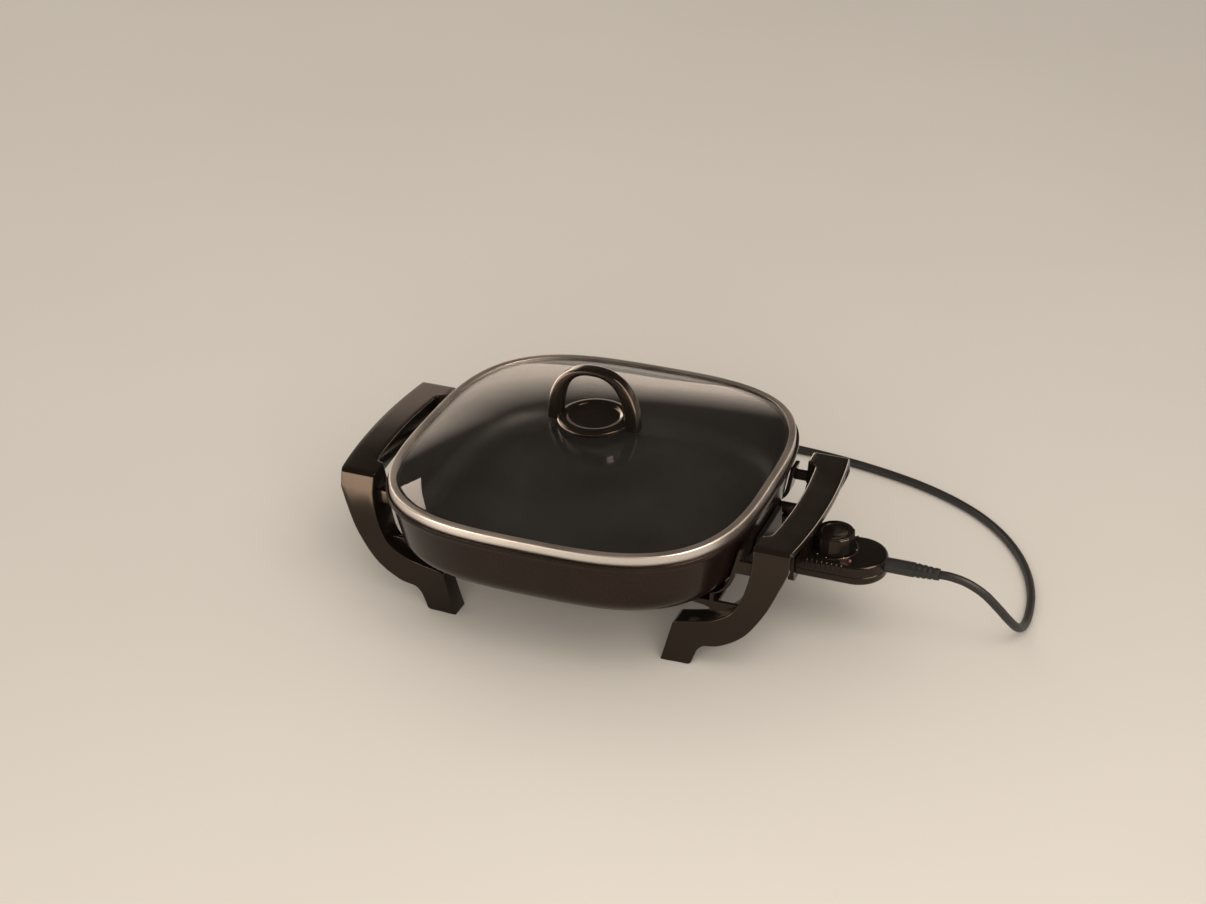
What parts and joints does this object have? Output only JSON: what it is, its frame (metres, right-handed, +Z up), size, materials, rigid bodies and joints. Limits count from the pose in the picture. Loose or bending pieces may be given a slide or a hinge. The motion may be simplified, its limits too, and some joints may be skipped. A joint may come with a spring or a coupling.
{
  "type": "electric skillet",
  "caption": "Square electric skillet on two strap handles that are also its legs, with a domed glass lid, looped knob, and a plug-in heat control with dial and cord.",
  "frame": {"origin": "on the table, in the middle of the length from the left grip to the tip of the strain relief, under the middle of the pan's width", "axes": "+X towards the heat control, -Y towards the front, +Z up"},
  "size_m": [0.5472, 0.4125, 0.1982],
  "materials": {
    "nonstick_coating": "glossy dark brown enamel outside, fine nonstick coating inside",
    "element_sheath": "dull heat-darkened steel tube",
    "terminal_brass": "plain brass",
    "ceramic": "unglazed white ceramic",
    "plated_steel": "zinc-plated steel",
    "guard_steel": "black painted sheet steel",
    "handle_plastic": "glossy black moulded phenolic",
    "lid_glass": "clear tempered glass",
    "band_steel": "satin stainless steel",
    "rubber": "soft silicone",
    "control_plastic": "glossy black moulded plastic",
    "probe_steel": "polished steel tube",
    "lens_red": "clear red plastic",
    "cord_rubber": "matt black cord sheath"
  },
  "bodies": {
    "base": {"pan": "nonstick_coating", "heating_element": "element_sheath", "terminal_pins": "terminal_brass", "terminal_insulators": "ceramic", "probe_sleeve": "element_sheath", "pan_studs": "plated_steel", "terminal_guard": "guard_steel", "guard_screws": "plated_steel", "handle_right": "handle_plastic", "handle_left": "handle_plastic", "handle_screws": "plated_steel"},
    "lid": {"lid_glass": "lid_glass", "lid_band": "band_steel", "knob_hoop": "handle_plastic", "knob_cap": "handle_plastic", "knob_gasket": "rubber", "knob_washer": "plated_steel", "knob_screw": "plated_steel"},
    "control": {"probe_housing": "control_plastic", "control_base": "control_plastic", "control_cover": "control_plastic", "control_screws": "plated_steel", "thermostat_frame": "plated_steel", "blade_stack": "ceramic", "contact_blades": "terminal_brass", "contact_sleeves": "terminal_brass", "lead_straps": "terminal_brass", "probe_rod": "probe_steel", "indicator_lens": "lens_red", "indicator_lamp": "lens_red", "bezel_ring": "control_plastic", "strain_relief": "cord_rubber", "cord_lead": "cord_rubber", "cord_coil": "cord_rubber", "cord_tail": "cord_rubber", "cord_tie": "cord_rubber", "plug_body": "cord_rubber", "plug_blades": "terminal_brass"},
    "dial": {"dial": "handle_plastic", "dial_shaft": "plated_steel"}
  },
  "joints": [
    {"name": "lid_lift", "type": "slide", "parent": "base", "child": "lid", "axis": [0, 0, 1], "range_m": [0, 0.15]},
    {"name": "control_pull", "type": "slide", "parent": "base", "child": "control", "axis": [1, 0, 0], "range_m": [0, 0.085]},
    {"name": "dial_turn", "type": "hinge", "parent": "control", "child": "dial", "pos_m": [0.15665, 0, 0.083], "axis": [0, 0, 1], "range_deg": [-285, 0]}
  ]
}
